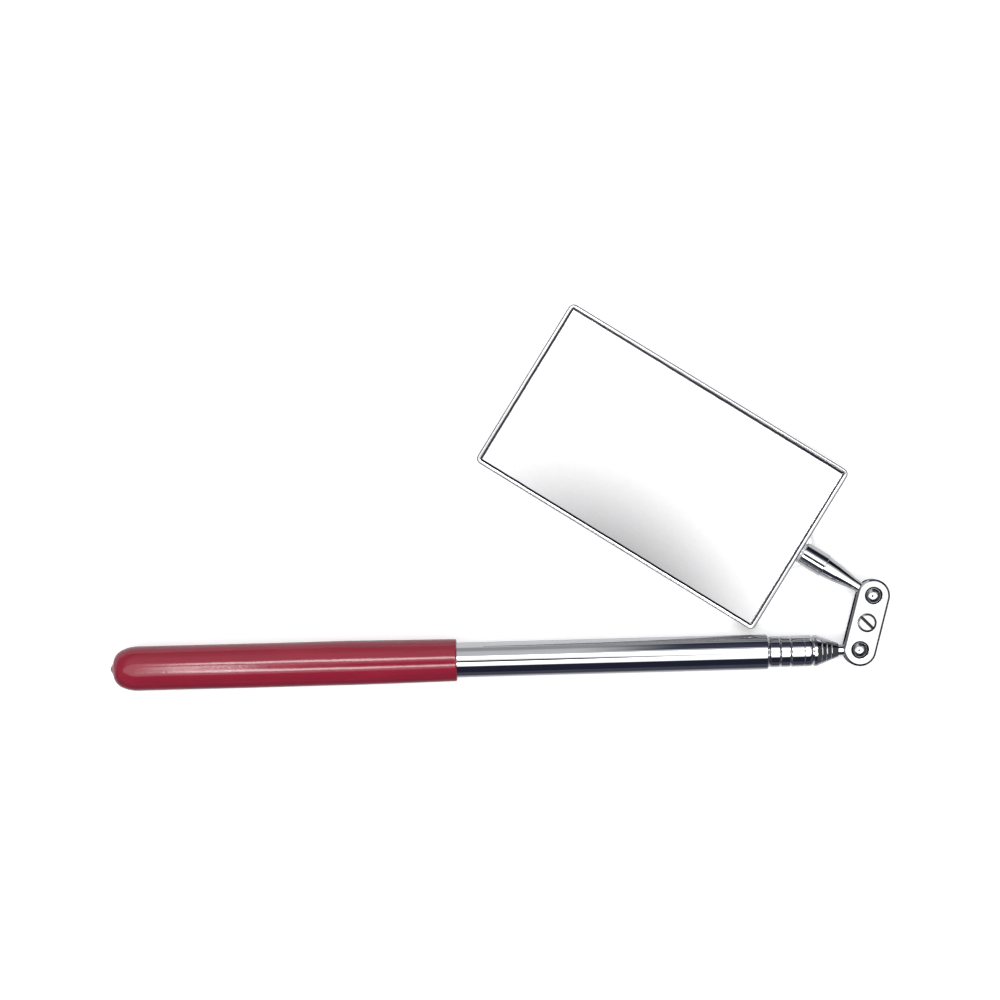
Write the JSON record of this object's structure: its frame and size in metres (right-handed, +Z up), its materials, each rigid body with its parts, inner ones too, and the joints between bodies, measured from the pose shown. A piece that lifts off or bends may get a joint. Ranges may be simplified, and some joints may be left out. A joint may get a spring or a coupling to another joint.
{
  "type": "telescoping inspection mirror",
  "caption": "Rectangular inspection mirror on a double ball link and a telescoping chromed tube handle with a dipped vinyl grip.",
  "frame": {"origin": "on the handle axis, at the middle of the straight part of the grip", "axes": "+X along the handle from the grip towards the ball link, +Z up from the surface the tool lies on, which is the way the mirror faces at rest"},
  "size_m": [0.2125, 0.1024, 0.0122],
  "materials": {
    "grip_vinyl": "glossy dipped vinyl",
    "chromed_tube": "bright chrome plate",
    "chromed_fittings": "bright chrome plate",
    "ball_steel": "ground and polished",
    "plated_link": "satin nickel plate",
    "plain_steel": "zinc plated",
    "sleeve_brass": "plain turned",
    "mirror_case": "nickel plated sheet",
    "pad_card": "plain",
    "silvering": "silvered",
    "clear_glass": "polished float glass"
  },
  "bodies": {
    "handle": {"grip": "grip_vinyl", "outer_tube": "chromed_tube"},
    "mid_sleeve": {"middle_friction_sleeve": "sleeve_brass"},
    "mid_tube": {"middle_tube": "chromed_tube", "middle_tail_collar": "plain_steel", "nose_guide_bush": "sleeve_brass"},
    "rod_sleeve": {"rod_friction_sleeve": "sleeve_brass"},
    "rod": {"inner_rod": "chromed_tube", "rod_tail_collar": "plain_steel", "tip_ferrule": "chromed_fittings", "lower_ball_stud": "ball_steel"},
    "link": {"front_link_plate": "plated_link", "rear_link_plate": "plated_link", "clamp_screw": "plain_steel", "lock_washer": "plain_steel", "clamp_nut": "plain_steel"},
    "head_stem": {"upper_ball_stem": "chromed_fittings"},
    "head": {"stem_bracket": "chromed_fittings", "bracket_rivets": "plain_steel", "mirror_tray": "mirror_case", "backing_pad": "pad_card", "silver_coating": "silvering", "mirror_glass": "clear_glass"}
  },
  "joints": [
    {"name": "mid_slide", "type": "slide", "parent": "handle", "child": "mid_sleeve", "axis": [1, 0, 0], "range_m": [0, 0.15625]},
    {"name": "mid_spin", "type": "hinge", "parent": "mid_sleeve", "child": "mid_tube", "pos_m": [0, 0, 0], "axis": [1, 0, 0], "continuous": true},
    {"name": "rod_slide", "type": "slide", "parent": "mid_tube", "child": "rod_sleeve", "axis": [1, 0, 0], "range_m": [0, 0.14295]},
    {"name": "rod_spin", "type": "hinge", "parent": "rod_sleeve", "child": "rod", "pos_m": [0, 0, 0], "axis": [1, 0, 0], "continuous": true},
    {"name": "lower_swing", "type": "hinge", "parent": "rod", "child": "link", "pos_m": [0.16775, 0, 0], "axis": [0, 0, 1], "range_deg": [-148.8, 0]},
    {"name": "upper_swing", "type": "hinge", "parent": "link", "child": "head_stem", "pos_m": [0.17184, 0.01464, 0], "axis": [0, 0, 1], "range_deg": [-145, 0]},
    {"name": "head_spin", "type": "hinge", "parent": "head_stem", "child": "head", "pos_m": [0.17184, 0.01464, 0], "axis": [-0.8375, 0.5454, -0.0334], "continuous": true}
  ]
}
